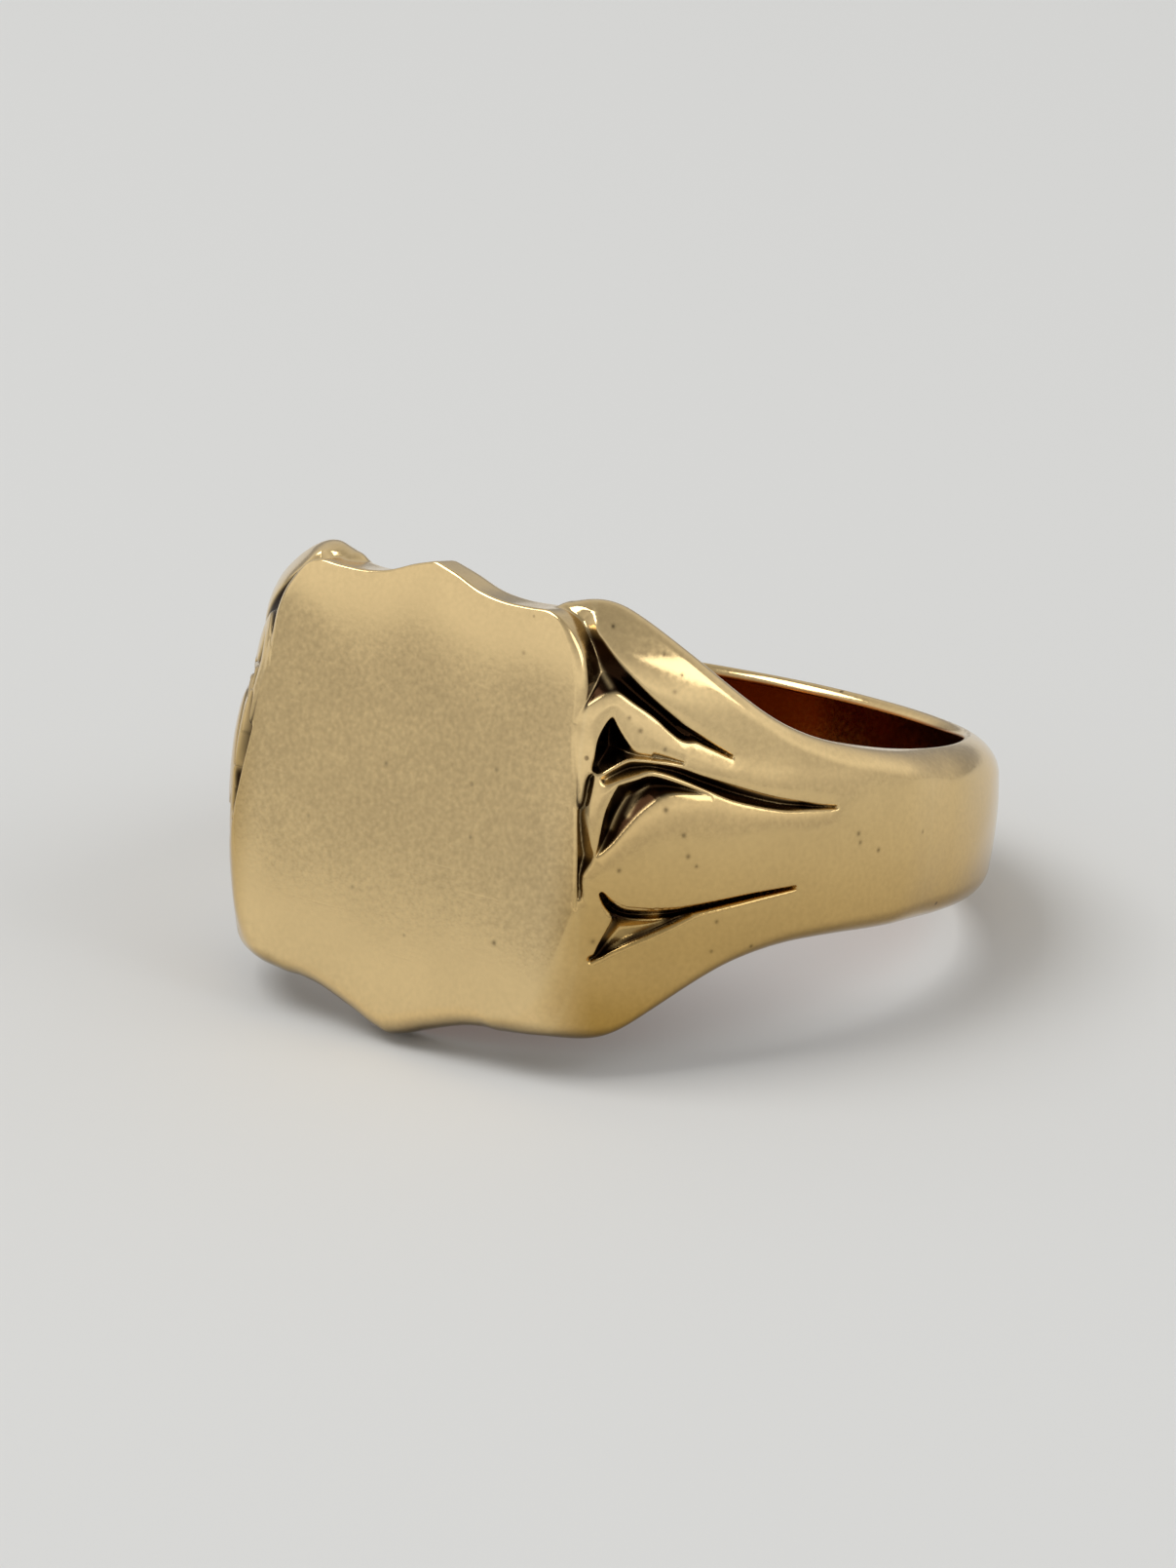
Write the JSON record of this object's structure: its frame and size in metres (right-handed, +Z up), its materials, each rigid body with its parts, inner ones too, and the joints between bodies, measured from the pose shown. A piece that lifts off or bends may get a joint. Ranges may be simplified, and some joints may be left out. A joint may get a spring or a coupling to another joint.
{
  "type": "signet ring",
  "caption": "Gold signet ring with a plain shield-shaped face, carved leaf shoulders and a D-section shank, lying on its side.",
  "frame": {"origin": "bottom centre of the ring's bounding box, on the table it lies on", "axes": "+Z up from the table; the signet face looks towards -Y and slightly up, the back of the shank lies towards +Y; +X is the wearer-side right shoulder as seen from in front of the face; the finger hole's axis leans from +Z towards +Y by 13.4 degrees"},
  "size_m": [0.022, 0.0236, 0.0139],
  "materials": {
    "gold": "softly polished 9 ct yellow gold with fine wear",
    "solder": "hard gold solder, filed and polished flush"
  },
  "bodies": {
    "root": {"signet_plate": "gold", "head_block": "gold", "shoulder_left": "gold", "shoulder_right": "gold", "shank_left": "gold", "shank_right": "gold", "plate_solder": "solder", "shoulder_solder": "solder", "shank_solder": "solder", "sizing_seam": "solder"}
  },
  "joints": []
}
